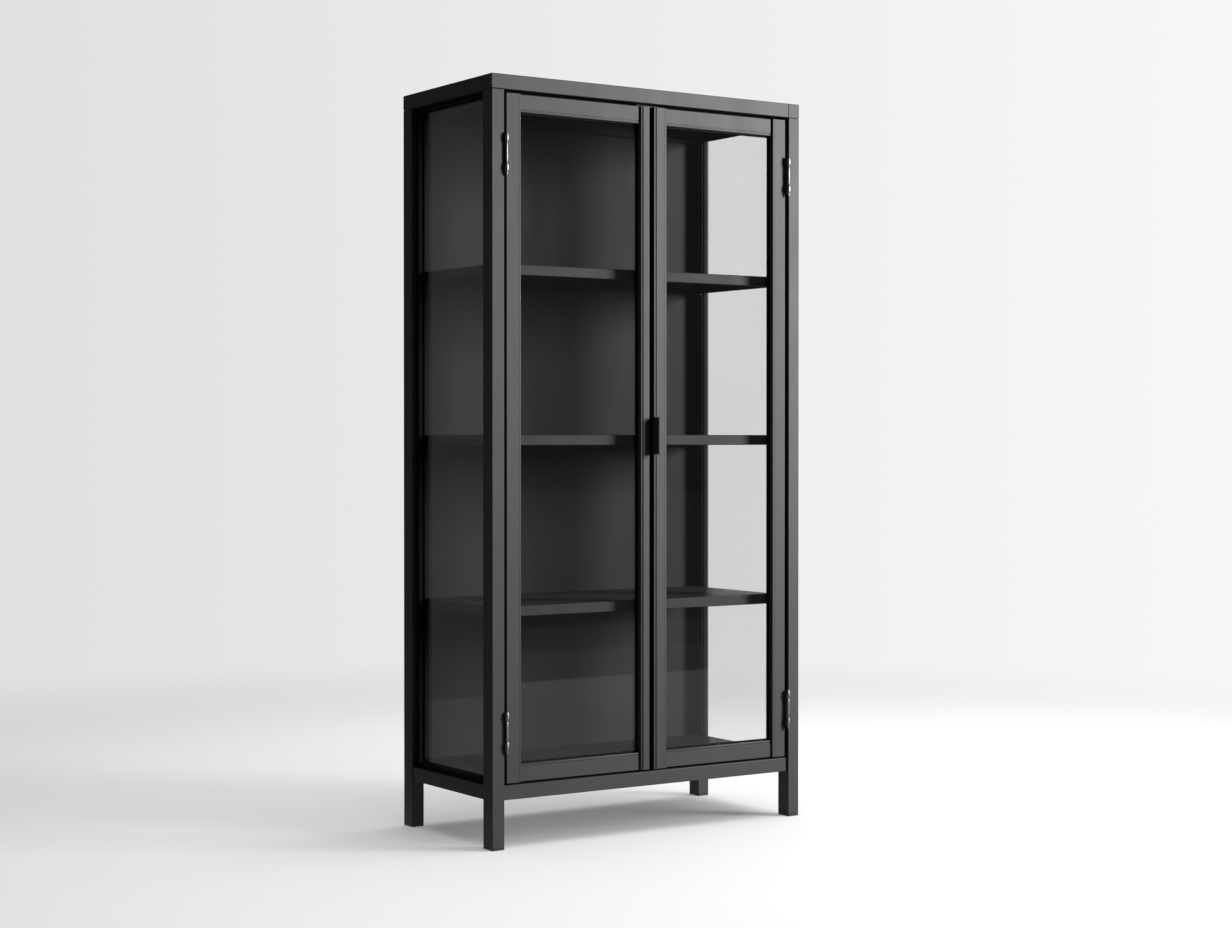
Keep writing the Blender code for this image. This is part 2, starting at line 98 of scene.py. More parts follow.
class CabinetSizes(bpy.types.PropertyGroup):
    """Details of the steelwork."""

    tube_corner: length("Tube corner", "Rounding along the corners of the box sections", 0.0015)
    end_ease: length("End ease", "Rounding at the cut ends of the box sections", 0.0007)
    joint_gap: length("Joint gap", "Gap left at each joint of the frame", 0.0006)
    bead: length("Bead", "Width of the moulded bead round the glass", 0.005)
    wide_bead: length("Wide bead", "Width of the bead on the right door's meeting stile", 0.0075)
    bead_groove: length("Bead groove", "Width of the groove beside the bead", 0.0025)
    bead_groove_depth: length("Bead groove depth", "Depth of the groove beside the bead", 0.002)
    rail_groove: length("Rail groove", "Depth of the groove on the doors' rails", 0.0012)
    shallow_groove: length("Shallow groove", "Depth of the groove on the hinge stiles", 0.0003)
    sheet: length("Sheet", "Thickness of the folded sheets", 0.001)
    bend: length("Bend", "Outside radius of the folds", 0.0022)
    shelf_return: length("Shelf return", "Width of the second fold under each shelf's edge", 0.010)
    slot_pitch: length("Slot pitch", "Height from slot to slot in the standards", 0.025)
    knuckle_bulge: length("Knuckle bulge", "How far the end knuckles swell in the middle", 0.0010)
    pull_bend: length("Pull bend", "Outside radius where the pull's web turns into its lip", 0.0020)


class CabinetFinishes(bpy.types.PropertyGroup):
    """Colours and gloss."""

    frame_colour: paint_colour("Frame", "Powder coat on the frame and doors", (0.026, 0.026, 0.027))
    frame_roughness: share("Frame roughness", "Roughness of the frame's powder coat", 0.56)
    # Painted shade: the frame's black coat made darker for the sheets and shelves, standing in for the
    # shade inside the cabinet.
    shaded_panel_colour: paint_colour("Sheets", "Powder coat on shelves and sheets", (0.014, 0.014, 0.0144))
    panel_roughness: share("Sheet roughness", "Roughness of the sheets' powder coat", 0.62)
    rubber_colour: paint_colour("Rubber", "Glazing channels and door seal", (0.004, 0.004, 0.004))
    plastic_colour: paint_colour("Plastic", "Feet and catch", (0.012, 0.012, 0.012))
    steel_colour: paint_colour("Steel", "Satin hinges", (0.24, 0.24, 0.237))
    glass_tint: paint_colour("Glass tint", "What each face of a pane lets through",
                             (0.972, 0.972, 0.972))


class CabinetStudio(bpy.types.PropertyGroup):
    """Camera, lamps, floor and backdrop."""

    camera_place: FloatVectorProperty(
        name="Camera", description="Where the camera stands, from the foot of the front left post",
        default=(-2.6265, -4.4616, 0.9558), size=3, subtype="TRANSLATION", unit="LENGTH")
    camera_turn: FloatProperty(name="Turn", description="Turn of the view to the right of straight on",
                               default=radians(33.654), subtype="ANGLE", unit="ROTATION")
    camera_tilt: FloatProperty(name="Tilt", description="Tilt of the view below the horizon",
                               default=radians(0.650), subtype="ANGLE", unit="ROTATION")
    lens: FloatProperty(name="Lens", description="Focal length in millimetres", default=65.39, min=1.0)
    key_power: power("Key lamp", "Softbox at the front right", 595.0)
    floor_power: power("Floor lamp", "Wide softbox overhead, for the floor alone", 570.0)
    rear_power: power("Rear lamp", "Softbox at the back right, for the cabinet alone", 60.0)
    floor_colour: paint_colour("Floor", "Pale floor", (0.26, 0.26, 0.26))
    floor_glow: share("Floor glow", "Light that the floor gives off by itself", 0.20)
    backdrop: share("Backdrop", "Brightness straight ahead", 0.838)
    backdrop_slope: share("Backdrop slope", "How much brighter the backdrop is far to the right", 0.127)
    ambience: share("Ambience", "Dim light from every side", 0.045)


# ---------------------------------------------------------------- shader tools

def overload(operation):
    """A sum with the wire first, and its reflected form."""
    def forward(self, other):
        return self.finish.maths(operation, self, other)

    def reflected(self, other):
        return self.finish.maths(operation, other, self)

    return forward, reflected


class Wire:
    """A shader value that takes part in sums."""

    def __init__(self, finish, socket):
        self.finish = finish
        self.socket = socket

    __add__, __radd__ = overload("ADD")
    __sub__, __rsub__ = overload("SUBTRACT")
    __mul__, __rmul__ = overload("MULTIPLY")
    __pow__, __rpow__ = overload("POWER")


class Finish:
    """A material or world, and the nodes in it."""

    def __init__(self, owner):
        self.owner = owner
        owner.use_nodes = True
        self.tree = owner.node_tree
        self.tree.nodes.clear()

    def node(self, kind, inputs=None, **settings):
        """Make a node with its settings; a Wire is linked to its input, anything else is set on it."""
        made = self.tree.nodes.new(kind)
        for setting, value in settings.items():
            setattr(made, setting, value)
        for socket, value in (inputs or {}).items():
            if isinstance(value, Wire):
                self.tree.links.new(value.socket, made.inputs[socket])
            else:
                made.inputs[socket].default_value = value
        return made

    def wire(self, made, output=0):
        return Wire(self, made.outputs[output])

    def maths(self, operation, *values):
        return self.wire(self.node("ShaderNodeMath", dict(enumerate(values)), operation=operation))

    def place(self):
        return self.wire(self.node("ShaderNodeTexCoord"), "Object")

    def stretched(self, place, scale):
        return self.wire(self.node("ShaderNodeMapping", {"Vector": place, "Scale": scale}))

    def noise(self, place, scale, detail=2.0, roughness=0.5):
        return self.wire(self.node("ShaderNodeTexNoise", {
            "Vector": place, "Scale": scale, "Detail": detail, "Roughness": roughness}))

    def blend(self, factor, first, second):
        made = self.node("ShaderNodeMix", {0: factor, 6: (*first, 1.0), 7: (*second, 1.0)},
                         data_type="RGBA")
        return self.wire(made, 2)

    def ramp(self, value, low, high, to_low=0.0, to_high=1.0):
        return self.wire(self.node("ShaderNodeMapRange", {
            0: value, 1: low, 2: high, 3: to_low, 4: to_high}, interpolation_type="SMOOTHSTEP"))

    def bump(self, height, strength, distance):
        return self.wire(self.node("ShaderNodeBump", {
            "Height": height, "Strength": strength, "Distance": distance}))

    def principled(self, inputs):
        return self.wire(self.node("ShaderNodeBsdfPrincipled", inputs))

    def output(self, surface, kind="ShaderNodeOutputMaterial"):
        self.node(kind, {"Surface": surface})
        return self.owner


def new_finish(name):
    return Finish(bpy.data.materials.new(name))


def shade(colour, factor):
    return tuple(channel * factor for channel in colour)


def powder_coat(name, colour, roughness, peel, sheen):
    """Black powder coat: fine orange peel, faint cloudiness and wiping marks in its gloss."""
    finish = new_finish(name)
    place = finish.place()
    cloud = finish.noise(place, 5.0, 3.0, 0.6)
    wiped = finish.noise(finish.stretched(place, (14.0, 14.0, 3.0)), 1.0, 4.0, 0.62)
    speck = finish.noise(place, 1400.0, 1.0)
    grain = finish.noise(place, 620.0, 2.0, 0.45)
    dust = finish.ramp(speck * 0.6 + cloud * 0.4, 0.60, 0.72)
    base = finish.blend(cloud * 0.8 + dust * 0.2, shade(colour, 0.84), shade(colour, 1.20))
    gloss = roughness + (wiped - 0.5) * 0.14 + (grain - 0.5) * 0.05
    surface = finish.principled({
        "Base Color": base, "Roughness": gloss, "IOR": 1.5, "Specular IOR Level": sheen,
        "Normal": finish.bump(grain, peel, 0.000012)})
    return finish.output(surface)


def moulded_plastic(name, colour):
    """Black plastic with a fine spark-eroded texture and scuffs."""
    finish = new_finish(name)
    place = finish.place()
    grain = finish.noise(place, 1100.0, 2.0)
    scuff = finish.noise(place, 70.0, 5.0, 0.7)
    base = finish.blend(finish.ramp(scuff, 0.58, 0.75), colour, shade(colour, 2.4))
    surface = finish.principled({
        "Base Color": base, "Roughness": 0.50 + (scuff - 0.5) * 0.3, "IOR": 1.49,
        "Normal": finish.bump(grain, 0.35, 0.00005)})
    return finish.output(surface)


def black_rubber(name, colour):
    """Extruded rubber: matt, with faint draw lines and bloom."""
    finish = new_finish(name)
    place = finish.place()
    bloom = finish.noise(place, 18.0, 4.0, 0.6)
    grain = finish.noise(place, 1500.0, 1.0)
    base = finish.blend(bloom, shade(colour, 0.7), shade(colour, 1.7))
    surface = finish.principled({
        "Base Color": base, "Roughness": 0.66 + (bloom - 0.5) * 0.2, "IOR": 1.45,
        "Specular IOR Level": 0.12, "Normal": finish.bump(grain, 0.3, 0.00002)})
    return finish.output(surface)


def satin_steel(name, colour, roughness):
    """Satin steel with fine lines turned round it and a slight tarnish."""
    finish = new_finish(name)
    place = finish.place()
    lines = finish.noise(finish.stretched(place, (120.0, 120.0, 3600.0)), 1.0, 3.0, 0.6)
    tarnish = finish.noise(place, 160.0, 4.0, 0.6)
    base = finish.blend(tarnish, shade(colour, 0.82), shade(colour, 1.12))
    surface = finish.principled({
        "Base Color": base, "Metallic": 1.0,
        "Roughness": roughness + (lines - 0.5) * 0.16 + (tarnish - 0.5) * 0.12,
        "Normal": finish.bump(lines, 0.2, 0.00003)})
    return finish.output(surface)


def clear_glass(name, tint):
    """A pane: each face mirrors a little, more at a low angle, and lets the rest through."""
    finish = new_finish(name)
    place = finish.place()
    facing = finish.wire(finish.node("ShaderNodeLayerWeight", {"Blend": 0.5}), "Facing")
    mirror = 0.042 + 0.958 * facing ** 5.0
    wiped = finish.noise(finish.stretched(place, (9.0, 9.0, 4.0)), 1.0, 4.0, 0.65)
    through = finish.wire(finish.node("ShaderNodeBsdfTransparent", {"Color": (*tint, 1.0)}))
    gloss = finish.principled({
        "Base Color": WHITE, "Metallic": 1.0,
        "Roughness": 0.012 + finish.ramp(wiped, 0.45, 0.8) * 0.03})
    mixed = finish.node("ShaderNodeMixShader", {0: mirror, 1: through, 2: gloss})
    return finish.output(finish.wire(mixed))


def finishes():
    """Every finish by its slot's name, made once."""
    colours = bpy.context.scene.cabinet_finishes
    recipes = {
        "frame_paint": (powder_coat, colours.frame_colour, colours.frame_roughness, 0.30, 0.5),
        # The sheets and shelves take the darker coat, which paints in the shade inside the cabinet.
        "panel_paint": (powder_coat, colours.shaded_panel_colour, colours.panel_roughness, 0.36, 0.2),
        "shelf_paint": (powder_coat, colours.shaded_panel_colour, colours.panel_roughness, 0.30, 0.42),
        "handle_paint": (powder_coat, colours.frame_colour, colours.frame_roughness, 0.20, 0.5),
        "foot_plastic": (moulded_plastic, colours.plastic_colour),
        "catch_plastic": (moulded_plastic, colours.plastic_colour),
        "seal_rubber": (black_rubber, colours.rubber_colour),
        "hinge_steel": (satin_steel, colours.steel_colour, 0.42),
        "catch_steel": (satin_steel, colours.steel_colour, 0.38),
        "clear_glass": (clear_glass, colours.glass_tint),
    }
    made = {}
    for slot, (recipe, colour, *rest) in recipes.items():
        name = slot + "_finish"
        made[slot] = bpy.data.materials.get(name) or recipe(name, tuple(colour), *rest)
    return made


# ---------------------------------------------------------------- shapes

def across(axis):
    """The two other axes, in order."""
    return [other for other in (X, Y, Z) if other != axis]


def spread(axis, along, pair):
    """A point from its place along an axis and its two places across it."""
    point = Vector((0.0, 0.0, 0.0))
    first, second = across(axis)
    point[axis] = along
    point[first], point[second] = pair
    return point


def on_plane(edge, axis, value):
    return all(abs(vert.co[axis] - value) < TOUCHING for vert in edge.verts)


def runs_along(edge, axis):
    first, second = edge.verts
    return all(abs(first.co[other] - second.co[other]) < TOUCHING for other in across(axis))


def round_off(shape, geom, radius, steps, affect="EDGES"):
    """Round edges or corners off; what it makes is shaded smooth."""
    if radius <= 0.0 or not geom:
        return
    made = bmesh.ops.bevel(shape, geom=geom, offset=radius, offset_type="OFFSET", segments=steps,
                           profile=0.5, affect=affect, material=-1, clamp_overlap=True)
    for face in made["faces"]:
        face.smooth = True


def round_along(shape, axis, radius, steps):
    """Round the edges that run along an axis."""
    round_off(shape, [edge for edge in shape.edges if runs_along(edge, axis)], radius, steps)


def round_rim(shape, axis, value, radius, steps):
    """Round the edges that lie in one plane across an axis."""
    round_off(shape, [edge for edge in shape.edges if on_plane(edge, axis, value)], radius, steps)


def move_drawn(shape, drawn, way):
    """Move what an extrusion has just drawn."""
    moved = [item for item in drawn["geom"] if isinstance(item, bmesh.types.BMVert)]
    bmesh.ops.translate(shape, verts=moved, vec=way)


def cuboid(low, high):
    shape = bmesh.new()
    bmesh.ops.create_cube(shape, size=1.0)
    bmesh.ops.scale(shape, vec=Vector(high) - Vector(low), verts=shape.verts)
    bmesh.ops.translate(shape, vec=(Vector(low) + Vector(high)) / 2, verts=shape.verts)
    return shape


def eased_block(low, high, ease, steps=2):
    """A block with every edge rounded."""
    shape = cuboid(low, high)
    round_off(shape, shape.edges[:], ease, steps)
    return shape


def box_section(low, high, along, corner, ease):
    """A square-cut box section: rounded along its length, eased at its ends."""
    shape = cuboid(low, high)
    round_along(shape, along, corner, 4)
    for end in (low[along], high[along]):
        round_rim(shape, along, end, ease, 2)
    return shape


def prism(outline, along, low, high, steps=4, ease=0.0):
    """An outline of (across, across, rounding) corners, drawn out along an axis."""
    shape = bmesh.new()
    points = [shape.verts.new(spread(along, low, corner[:2])) for corner in outline]
    shape.faces.new(points)
    for radius in sorted({corner[2] for corner in outline if corner[2] > 0.0}):
        chosen = [vert for vert, corner in zip(points, outline) if corner[2] == radius]
        round_off(shape, chosen, radius, steps, "VERTICES")
    drawn = bmesh.ops.extrude_face_region(shape, geom=shape.faces[:])
    move_drawn(shape, drawn, spread(along, high - low, (0.0, 0.0)))
    bmesh.ops.recalc_face_normals(shape, faces=shape.faces)
    largest = max(corner[2] for corner in outline)
    for face in shape.faces:
        rims = [edge.calc_length() for edge in face.edges if not runs_along(edge, along)]
        face.smooth = len(rims) == 2 and max(rims) < max(WIDEST_SMOOTH, 0.45 * largest)
    for end in (low, high):
        round_rim(shape, along, end, ease, 2)
    return shape


def ring(low, high, through, width, ease=0.0):
    """A four-sided frame, looked through along one axis."""
    first, second = across(through)
    places = ((low[first], low[second]), (high[first], low[second]),
              (high[first], high[second]), (low[first], high[second]))
    shape = bmesh.new()
    plate = shape.faces.new([shape.verts.new(spread(through, low[through], place))
                             for place in places])
    shape.normal_update()
    bmesh.ops.inset_region(shape, faces=[plate], thickness=width, use_even_offset=True,
                           use_boundary=True)
    bmesh.ops.delete(shape, geom=[plate], context="FACES_ONLY")
    drawn = bmesh.ops.extrude_face_region(shape, geom=shape.faces[:])
    move_drawn(shape, drawn, spread(through, high[through] - low[through], (0.0, 0.0)))
    bmesh.ops.recalc_face_normals(shape, faces=shape.faces)
    rims = [edge for edge in shape.edges
            if edge.calc_face_angle(0.0) > radians(60) and not runs_along(edge, through)]
    round_off(shape, rims, ease, 2)
    return shape


def turned(outline, centre, direction=(0.0, 0.0, 1.0), sides=36, closed=False):
    """An outline of (radius, height) points spun round an axis."""
    shape = bmesh.new()
    points = [shape.verts.new((radius, 0.0, height)) for radius, height in outline]
    pairs = list(zip(points, points[1:]))
    if closed:
        pairs.append((points[-1], points[0]))
    rims = [shape.edges.new(pair) for pair in pairs]
    bmesh.ops.spin(shape, geom=points + rims, cent=(0.0, 0.0, 0.0), axis=(0.0, 0.0, 1.0),
                   dvec=(0.0, 0.0, 0.0), angle=2 * pi, steps=sides, use_merge=True)
    bmesh.ops.remove_doubles(shape, verts=shape.verts, dist=TOUCHING)
    bmesh.ops.recalc_face_normals(shape, faces=shape.faces)
    for face in shape.faces:
        face.smooth = True
    for edge in shape.edges:
        edge.smooth = edge.calc_face_angle(0.0) < SHARPEST_SMOOTH
    upright = Vector(direction).to_track_quat("Z", "Y").to_matrix().to_4x4()
    bmesh.ops.transform(shape, matrix=Matrix.Translation(centre) @ upright, verts=shape.verts)
    return shape


def screw_head(centre, direction, radius, height):
    """A low domed head with a round driver recess, seated on a surface."""
    recess = radius * 0.34
    return turned([(0.0, height * 0.35), (recess * 0.8, height * 0.35), (recess, height),
                   (radius * 0.62, height * 0.93), (radius * 0.88, height * 0.55),
                   (radius, 0.0), (radius * 0.98, -0.0003), (0.0, -0.0003)],
                  centre, direction, 20)


def folded_sheet(low, high, open_axis, open_end, bend, returns=0.0):
    """A sheet with its four edges folded towards one side, before it gets its thickness."""
    shape = cuboid(low, high)
    value = (low, high)[open_end][open_axis]
    gone = [face for face in shape.faces
            if all(abs(vert.co[open_axis] - value) < TOUCHING for vert in face.verts)]
    bmesh.ops.delete(shape, geom=gone, context="FACES")
    round_off(shape, [edge for edge in shape.edges if not edge.is_boundary], bend, 4)
    if returns > 0.0:
        for end, inward in ((low[Y], returns), (high[Y], -returns)):
            rim = [edge for edge in shape.edges if edge.is_boundary and on_plane(edge, Y, end)]
            drawn = bmesh.ops.extrude_edge_only(shape, edges=rim)
            move_drawn(shape, drawn, (0.0, inward, 0.0))
            folds = [edge for edge in shape.edges if on_plane(edge, Y, end)
                     and on_plane(edge, open_axis, value) and not edge.is_boundary]
            round_off(shape, folds, bend * 0.7, 3)
    bmesh.ops.recalc_face_normals(shape, faces=shape.faces)
    inside = (Vector(low) + Vector(high)) / 2
    inside[open_axis] = value
    middle = max(shape.faces, key=lambda face: face.calc_area())
    if middle.normal.dot(middle.calc_center_median() - inside) < 0.0:
        bmesh.ops.reverse_faces(shape, faces=shape.faces)
    return shape


def make_piece(name, shapes, body, slot, stands_for=(), finish_slots=None):
    """Join shapes into one piece, give it its finish and let it ride on its body."""
    whole = bmesh.new()
    for shape in shapes:
        scratch = bpy.data.meshes.new(name + "_scratch")
        shape.to_mesh(scratch)
        shape.free()
        whole.from_mesh(scratch)
        bpy.data.meshes.remove(scratch)
    mesh = bpy.data.meshes.new(name)
    whole.to_mesh(mesh)
    whole.free()
    paints = finishes()
    for each in finish_slots or (slot,):
        mesh.materials.append(paints[each])
    piece = bpy.data.objects.new(name, mesh)
    bpy.context.scene.collection.objects.link(piece)
    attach(piece, body)
    if stands_for:
        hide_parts(*stands_for)
    return piece


def second_finish(shape):
    """Give a shape the piece's second finish."""
    for face in shape.faces:
        face.material_index = 1
    return shape


def thicken(piece, thickness):
    wall = piece.modifiers.new("sheet", "SOLIDIFY")
    wall.thickness = thickness
    wall.offset = -1.0
    wall.use_even_offset = True


def corners(node):
    low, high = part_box(node)
    return Vector(low), Vector(high)


# ---------------------------------------------------------------- operators

class CABINET_OT_frame(bpy.types.Operator):
    """Posts, top rails and bottom rails of box section"""

    bl_idname = "cabinet.frame"
    bl_label = "Frame"

    def execute(self, context):
        sizes = context.scene.cabinet_sizes
        for end in ENDS:
            for side in SIDES:
                node = f"post_{end}_{side}"
                low, high = corners(node)
                high.z -= sizes.joint_gap
                tube = box_section(low, high, Z, sizes.tube_corner, sizes.end_ease)
                make_piece(f"{end}_{side}_post", [tube], "carcass", "frame_paint", [node])
        for end, along, gap_end in (("front", X, 1), ("right", Y, 1), ("rear", X, 0), ("left", Y, 0)):
            for level in ("top", "bottom"):
                node = f"{level}_rail_{end}"
                low, high = corners(node)
                if level == "top" and gap_end:
                    high[along] -= sizes.joint_gap
                elif level == "top":
                    low[along] += sizes.joint_gap
                tube = box_section(low, high, along, sizes.tube_corner, sizes.end_ease)
                make_piece(f"{end}_{level}_rail", [tube], "carcass", "frame_paint", [node])
        return {"FINISHED"}


class CABINET_OT_feet(bpy.types.Operator):
    """Plastic caps under the posts"""

    bl_idname = "cabinet.feet"
    bl_label = "Feet"

    CAP_HEIGHT = 0.007
    CAP_CORNER, SOLE_EDGE, CAP_EDGE = 0.0019, 0.0028, 0.0006
    SOLE_MARGIN, SOLE_RECESS = 0.004, 0.0012
    PLUG_PLAY, PLUG_START, PLUG_EDGE = 0.0016, 0.0060, 0.0008

    def execute(self, context):
        for end in ENDS:
            for side in SIDES:
                node = f"foot_{end}_{side}"
                low, high = corners(node)
                cap_high = Vector((high.x, high.y, self.CAP_HEIGHT))
                cap = cuboid(low, cap_high)
                round_along(cap, Z, self.CAP_CORNER, 4)
                round_rim(cap, Z, low.z, self.SOLE_EDGE, 4)
                round_rim(cap, Z, cap_high.z, self.CAP_EDGE, 2)
                sole = min(cap.faces, key=lambda face: face.calc_center_median().z)
                bmesh.ops.inset_region(cap, faces=[sole], thickness=self.SOLE_MARGIN,
                                       depth=-self.SOLE_RECESS)
                plug = eased_block(low + Vector((self.PLUG_PLAY, self.PLUG_PLAY, self.PLUG_START)),
                                   high - Vector((self.PLUG_PLAY, self.PLUG_PLAY, 0.0)),
                                   self.PLUG_EDGE)
                make_piece(f"{end}_{side}_foot_cap", [cap, plug], "carcass", "foot_plastic", [node])
        return {"FINISHED"}


class CABINET_OT_sheets(bpy.types.Operator):
    """Roof, floor and back of folded sheet"""

    bl_idname = "cabinet.sheets"
    bl_label = "Sheets"

    RIVETS = 6
    RIVET_MARGIN, RIVET_BACK = 0.08, 0.002
    RIVET_RADIUS, RIVET_HEIGHT = 0.0035, 0.0014

    def execute(self, context):
        sizes = context.scene.cabinet_sizes
        for node, name, open_axis, open_end in (("top_panel", "roof_sheet", Z, 0),
                                                ("floor_panel", "floor_sheet", Z, 0),
                                                ("back_panel", "rear_sheet", Y, 1)):
            low, high = corners(node)
            shape = folded_sheet(low, high, open_axis, open_end, sizes.bend)
            piece = make_piece(name, [shape], "carcass", "panel_paint", [node])
            thicken(piece, sizes.sheet)
        low, high = corners("back_panel")
        rivets = []
        for face_x, way in ((low.x + sizes.sheet, 1.0), (high.x - sizes.sheet, -1.0)):
            for step in range(self.RIVETS):
                run = high.z - low.z - 2 * self.RIVET_MARGIN
                height = low.z + self.RIVET_MARGIN + step * run / (self.RIVETS - 1)
                rivets.append(screw_head((face_x, (low.y + high.y) / 2 + self.RIVET_BACK, height),
                                         (way, 0.0, 0.0), self.RIVET_RADIUS, self.RIVET_HEIGHT))
        make_piece("rear_sheet_rivets", rivets, "carcass", "panel_paint")
        return {"FINISHED"}


class CABINET_OT_shelves(bpy.types.Operator):
    """Three folded shelves and the slotted standards that carry them"""

    bl_idname = "cabinet.shelves"
    bl_label = "Shelves"

    BAR_WIDTH, BAR_DEPTH = 0.0135, 0.003
    SLOT_MARGIN, SLOT_DEPTH, SLOT_SHARE = 0.0052, 0.0022, 0.48
    LUG_BACK, LUG_LENGTH, LUG_HEIGHT, LUG_GAP, LUG_EDGE = 0.001, 0.032, 0.003, 0.0003, 0.0008
    LUG_REACH = (0.0028, 0.012)

    def execute(self, context):
        sizes = context.scene.cabinet_sizes
        tops = []
        for level in ("upper", "middle", "lower"):
            node = f"shelf_{level}"
            low, high = corners(node)
            shape = folded_sheet(low, high, Z, 0, sizes.bend, sizes.shelf_return)
            piece = make_piece(f"{level}_shelf_sheet", [shape], "carcass", "panel_paint", [node],
                               ("shelf_paint",))
            thicken(piece, sizes.sheet)
            tops.append(low.z)
        for end in ENDS:
            for side in SIDES:
                self.standard(sizes, end, side, tops)
        return {"FINISHED"}

    def standard(self, sizes, end, side, shelf_lows):
        """One slotted bar with a lug under each shelf."""
        node = f"shelf_standard_{end}_{side}"
        low, high = corners(node)
        inward = 1.0 if side == "left" else -1.0
        wall_x = low.x if side == "left" else high.x
        face_x = wall_x + inward * self.BAR_DEPTH
        bar_y = (low.y, low.y + self.BAR_WIDTH) if end == "front" else (high.y - self.BAR_WIDTH, high.y)
        rows = int((high.z - low.z) / sizes.slot_pitch)
        shape = bmesh.new()
        bmesh.ops.create_grid(shape, x_segments=3, y_segments=2 * rows + 1, size=0.5)
        slot_height = sizes.slot_pitch * self.SLOT_SHARE
        margin = (high.z - low.z - rows * sizes.slot_pitch + sizes.slot_pitch - slot_height) / 2
        for vert in shape.verts:
            column = round((vert.co.x + 0.5) * 3)
            row = round((vert.co.y + 0.5) * (2 * rows + 1))
            y = (bar_y[0], bar_y[0] + self.SLOT_MARGIN, bar_y[1] - self.SLOT_MARGIN, bar_y[1])[column]
            if row == 0:
                z = low.z
            elif row == 2 * rows + 1:
                z = high.z
            else:
                z = low.z + margin + ((row - 1) // 2) * sizes.slot_pitch + ((row - 1) % 2) * slot_height
            vert.co = (face_x, y, z)
        slots = [face for face in shape.faces
                 if abs(face.calc_center_median().y - sum(bar_y) / 2) < 0.0005
                 and abs((face.calc_center_median().z - low.z - margin) % sizes.slot_pitch
                         - slot_height / 2) < 0.0015
                 and max(edge.calc_length() for edge in face.edges) < slot_height + 0.0005]
        back = bmesh.ops.extrude_face_region(shape, geom=slots)
        bmesh.ops.delete(shape, geom=[face for face in slots if face.is_valid], context="FACES_ONLY")
        move_drawn(shape, back, (-inward * self.SLOT_DEPTH, 0.0, 0.0))
        rim = [edge for edge in shape.edges if edge.is_boundary]
        drawn = bmesh.ops.extrude_edge_only(shape, edges=rim)
        move_drawn(shape, drawn, (-inward * self.BAR_DEPTH, 0.0, 0.0))
        bmesh.ops.holes_fill(shape, edges=[edge for edge in shape.edges if edge.is_boundary], sides=0)
        bmesh.ops.recalc_face_normals(shape, faces=shape.faces)
        parts = [shape]
        for shelf_low in shelf_lows:
            top = shelf_low - self.LUG_GAP
            y_from = (low.y + self.LUG_BACK if end == "front"
                      else high.y - self.LUG_BACK - self.LUG_LENGTH)
            reach = sorted(wall_x + inward * far for far in self.LUG_REACH)
            parts.append(eased_block((reach[0], y_from, top - self.LUG_HEIGHT),
                                     (reach[1], y_from + self.LUG_LENGTH, top), self.LUG_EDGE))
        make_piece(f"{end}_{side}_standard", parts, "carcass", "panel_paint", [node])


class CABINET_OT_glazing(bpy.types.Operator):
    """Panes and the rubber channels that hold them"""

    bl_idname = "cabinet.glazing"
    bl_label = "Glazing"

    SIDE_SIGHT, DOOR_SIGHT = 0.0117, 0.0030
    PLAY, WEB, LIP_EDGE = 0.0002, 0.0008, 0.0006

    def execute(self, context):
        glass = finishes()["clear_glass"]
        for side in SIDES:
            self.channel(f"side_seal_{side}", f"{side}_side_gasket", f"side_glass_{side}", "carcass",
                         X, self.SIDE_SIGHT)
            self.channel(f"{side}_door_seal", f"{side}_door_gasket", f"{side}_door_glass",
                         f"{side}_door", Y, self.DOOR_SIGHT)
            for pane in (f"side_glass_{side}", f"{side}_door_glass"):
                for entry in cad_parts[pane].material_slots:
                    entry.material = glass
        return {"FINISHED"}

    def channel(self, node, name, pane, body, through, sight):
        """A lip on each face of the pane and a web round its edge."""
        low, high = corners(node)
        pane_low, pane_high = corners(pane)
        shapes = []
        for near, far in ((low[through], pane_low[through] - self.PLAY),
                          (pane_high[through] + self.PLAY, high[through])):
            lip_low, lip_high = low.copy(), high.copy()
            lip_low[through], lip_high[through] = near, far
            shapes.append(ring(lip_low, lip_high, through, sight, self.LIP_EDGE))
        web_low, web_high = low.copy(), high.copy()
        web_low[through] = pane_low[through] - self.PLAY
        web_high[through] = pane_high[through] + self.PLAY
        shapes.append(ring(web_low, web_high, through, self.WEB))
        make_piece(name, shapes, body, "seal_rubber", [node])


